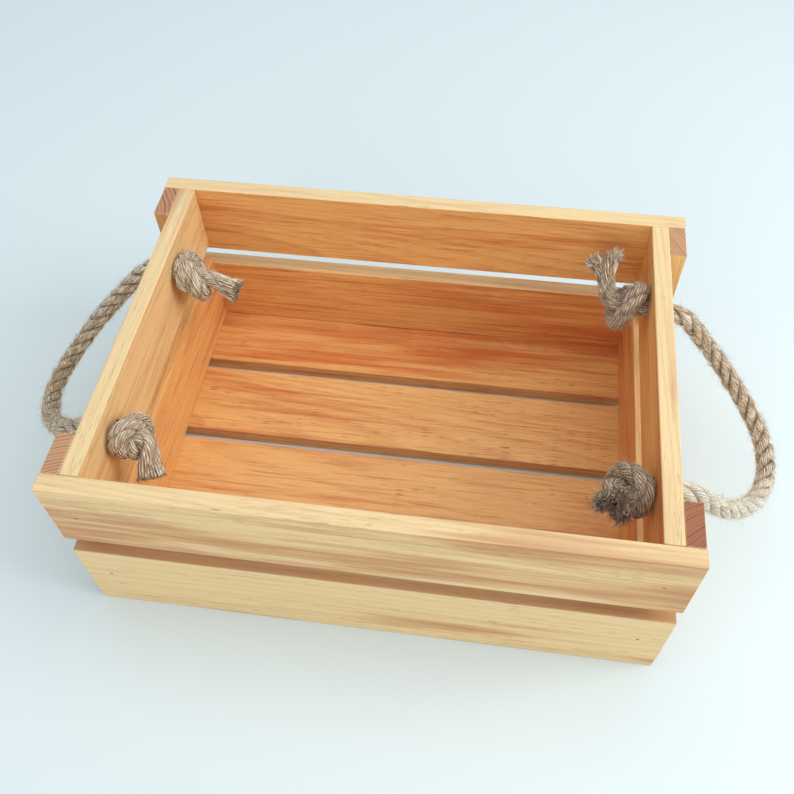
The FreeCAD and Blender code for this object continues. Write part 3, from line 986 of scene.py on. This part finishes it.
def tightened_knot():
    """The slack knot pulled tight: its ends are drawn apart while its rope stays round."""
    points = slack_knot()
    count = len(points)
    index = np.arange(count)
    one, other = np.triu_indices(count, k=int(round(APART_ALONG * ROPE_TOUCH / LINK)))
    links = [index[start:count - 1:2] for start in (0, 1)]
    bends = [index[start:count - 2:4] for start in range(4)]
    for _ in range(PULLS):
        runs = np.linalg.norm(np.diff(points, axis=0), axis=1)
        if runs.max() / LINK < PULL_UNTIL:
            points[0, 0] += PULL
            points[-1, 0] -= PULL
        points[0, 1:] *= ENDS_CENTRED
        points[-1, 1:] *= ENDS_CENTRED
        near = np.linalg.norm(points[other] - points[one], axis=1) < ROPE_TOUCH * NEAR
        settle(points, links, bends, (one[near], other[near]))
    out = points[:, 0] - points[:, 0].mean()
    body = points[(out > KNOT_SPAN[0]) & (out < KNOT_SPAN[1])]
    return body - (body.min(axis=0) + body.max(axis=0)) / 2


def bridge(start, start_way, end, end_way, count):
    """A smooth line between two points that leaves and arrives the given ways."""
    share = np.linspace(0, 1, count + 2)[1:-1, None]
    pull = BRIDGE_PULL * np.linalg.norm(end - start)
    cubic = (2 * share ** 3 - 3 * share ** 2 + 1) * start
    cubic = cubic + (share ** 3 - 2 * share ** 2 + share) * pull * start_way
    cubic = cubic + (3 * share ** 2 - 2 * share ** 3) * end
    return cubic + (share ** 3 - share ** 2) * pull * end_way


def unit(vector):
    """A vector's way, at length 1."""
    vector = np.array(vector, dtype=float)
    return vector / np.linalg.norm(vector)


def knot_body(form, knot, axis):
    """The tied knot in metres, turned so that its own line lies along an axis."""
    turn = Vector((-1, 0, 0)).rotation_difference(Vector(axis))
    roll = Quaternion(Vector(axis), math.radians(form["roll"]))
    along, across = form["size"]
    local = knot * (along, across, across * form["hand"]) * ROPE
    return local @ np.array((roll @ turn).to_matrix()).T


def knot_line(side, face, form, knot):
    """The rope's line from its hole, round the knot and out to the cut."""
    inner, _ = slat_faces(side)
    height, middle_y = holes_middle(side)
    inward = np.array((-SIDES[side], 0.0, 0.0))
    hole = np.array((SIDES[side] * inner, middle_y + FACES[face] * HOLE_HALF_SPACING, height))
    low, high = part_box(f"{side}_{face}_knot")
    middle = np.array((low + high) / 2) + np.array(form["sag"])
    tail_way = unit(form["tail"])
    axis = unit((1 - KNOT_LEAN) * inward + KNOT_LEAN * tail_way)
    body = knot_body(form, knot, axis) + middle
    gap = (body - hole) @ inward
    body = body + inward * (KNOT_SEATED * ROPE - gap.min())

    mouth = hole - inward * HOLE_MOUTH
    into = bridge(mouth, inward, body[0], unit(body[1] - body[0]), BRIDGE_POINTS["in"])
    tail_end = middle + tail_way * form["reach"]
    out = bridge(body[-1], unit(body[-1] - body[-2]), tail_end, tail_way, BRIDGE_POINTS["out"])
    return np.vstack([[mouth], into, body, out, [tail_end]])


def knot_fuzz(line, inner, rng):
    """The loose fibres round a knot, without those that would run into the slat."""
    inside = line[np.abs(line[:, 0]) < inner - KNOT_FUZZ_FROM]
    fuzz = []
    for kind in KNOT_FUZZ:
        roots, ways, lengths, thick = loose_fibres(inside, *kind, rng)
        ahead = roots + ways * KNOT_FUZZ_AHEAD
        clear = np.abs(ahead[:, 0]) < inner - KNOT_FUZZ_CLEAR
        fuzz.append(hairs(roots[clear], ways[clear], lengths[clear], thick[clear], rng))
    return fuzz


def add_knot(side, face, material, fibre_material, knot):
    """A knot with its cut tail, and the fibres that stand off it and off the cut."""
    name = f"{side}_{face}"
    form = KNOTS[name]
    rng = np.random.default_rng(SEED + 10 + sorted(KNOTS).index(name))
    line = smooth_line(knot_line(side, face, form, knot), f"{name}_knot_line")
    flare = FLARES[form["frayed"]]
    phase = rng.uniform(0, 2 * math.pi)
    surface = strands(line, KNOTTED_STRAND, phase, rng, flare)
    piece = rope_object(f"{name}_tied_knot", surface, material)

    fuzz = knot_fuzz(line, slat_faces(side)[0], rng)
    fuzz.append(cut_fibres(line, form, phase, flare, rng))
    fibres = rope_object(f"{name}_knot_fibres", joined(fuzz), fibre_material)
    for part in (piece, fibres):
        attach(part, "crate")
    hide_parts(f"{name}_knot", f"{name}_rope_tail")
    return [piece, fibres]


def cut_fibres(line, form, phase, flare, rng):
    """The ends of the yarns at a cut: trimmed short, or opened into a brush."""
    line = evenly(line, RING_STEP)
    way = carried_frames(line)[0][-1]
    cut = CUTS[form["frayed"]]
    count = cut["count"]
    _, half_high, half_wide = KNOTTED_STRAND
    brushes = []
    for middle, out, side, _ in lay(line, KNOTTED_STRAND, phase, flare)[0]:
        angle = rng.uniform(0, 2 * math.pi, count)
        reach = np.sqrt(rng.uniform(0, 1, count)) * (1 + FANNED * flare)
        across = (half_high * reach * np.cos(angle))[:, None] * out[-1]
        across = across + (half_wide * reach * np.sin(angle))[:, None] * side[-1]
        back = rng.uniform(CUT_BACK_LEAST, cut["back"], count)
        roots = middle[-1] + CUT_ROOTS * across - way * back[:, None]
        splay = out[-1] * (CUT_PARTING * flare) + across * cut["spread"]
        ways = way + splay + rng.normal(0, cut["scatter"], (count, 3))
        lengths = rng.uniform(*CUT_LENGTHS, count) * cut["length"]
        thick = rng.uniform(*CUT_THICKNESS, count)
        brushes.append(hairs(roots, ways, lengths, thick, rng, cut["curl"]))
    vertices, faces, fibres, _ = joined(brushes)
    # Painted shade on each cut fibre, within the knot's range.
    shade = rng.uniform(*form["shade"], STRANDS * count)
    return vertices, faces, fibres, np.repeat(shade, len(vertices) // len(shade))


def joined(surfaces):
    """Several rope surfaces as one."""
    faces, start = [], 0
    for vertices, own_faces, _, _ in surfaces:
        faces.extend([[index + start for index in face] for face in own_faces])
        start += len(vertices)
    vertices, fibres, grooves = (np.concatenate([surface[part] for surface in surfaces])
                                 for part in (0, 2, 3))
    return vertices, faces, fibres, grooves


# ------------------------ the scene
add_camera()
add_light()
add_floor()
finish_boards()
finish_brads()
tight = tightened_knot()
clean_jute = jute_material("jute")
handle_jute = {"left": clean_jute, "right": jute_material("jute_painted_light", paler=RIGHT_HANDLE_PAINTED_LIGHT)}
knot_jute = {side: jute_material(f"jute_{side}_knots", knot_shade, KNOT_GAP_SHADE)
             for side, knot_shade in KNOT_PAINTED_SHADE.items()}
for side in SIDES:
    tied = [part for face in FACES
            for part in add_knot(side, face, knot_jute[side], clean_jute, tight)]
    add_handle(side, handle_jute[side])
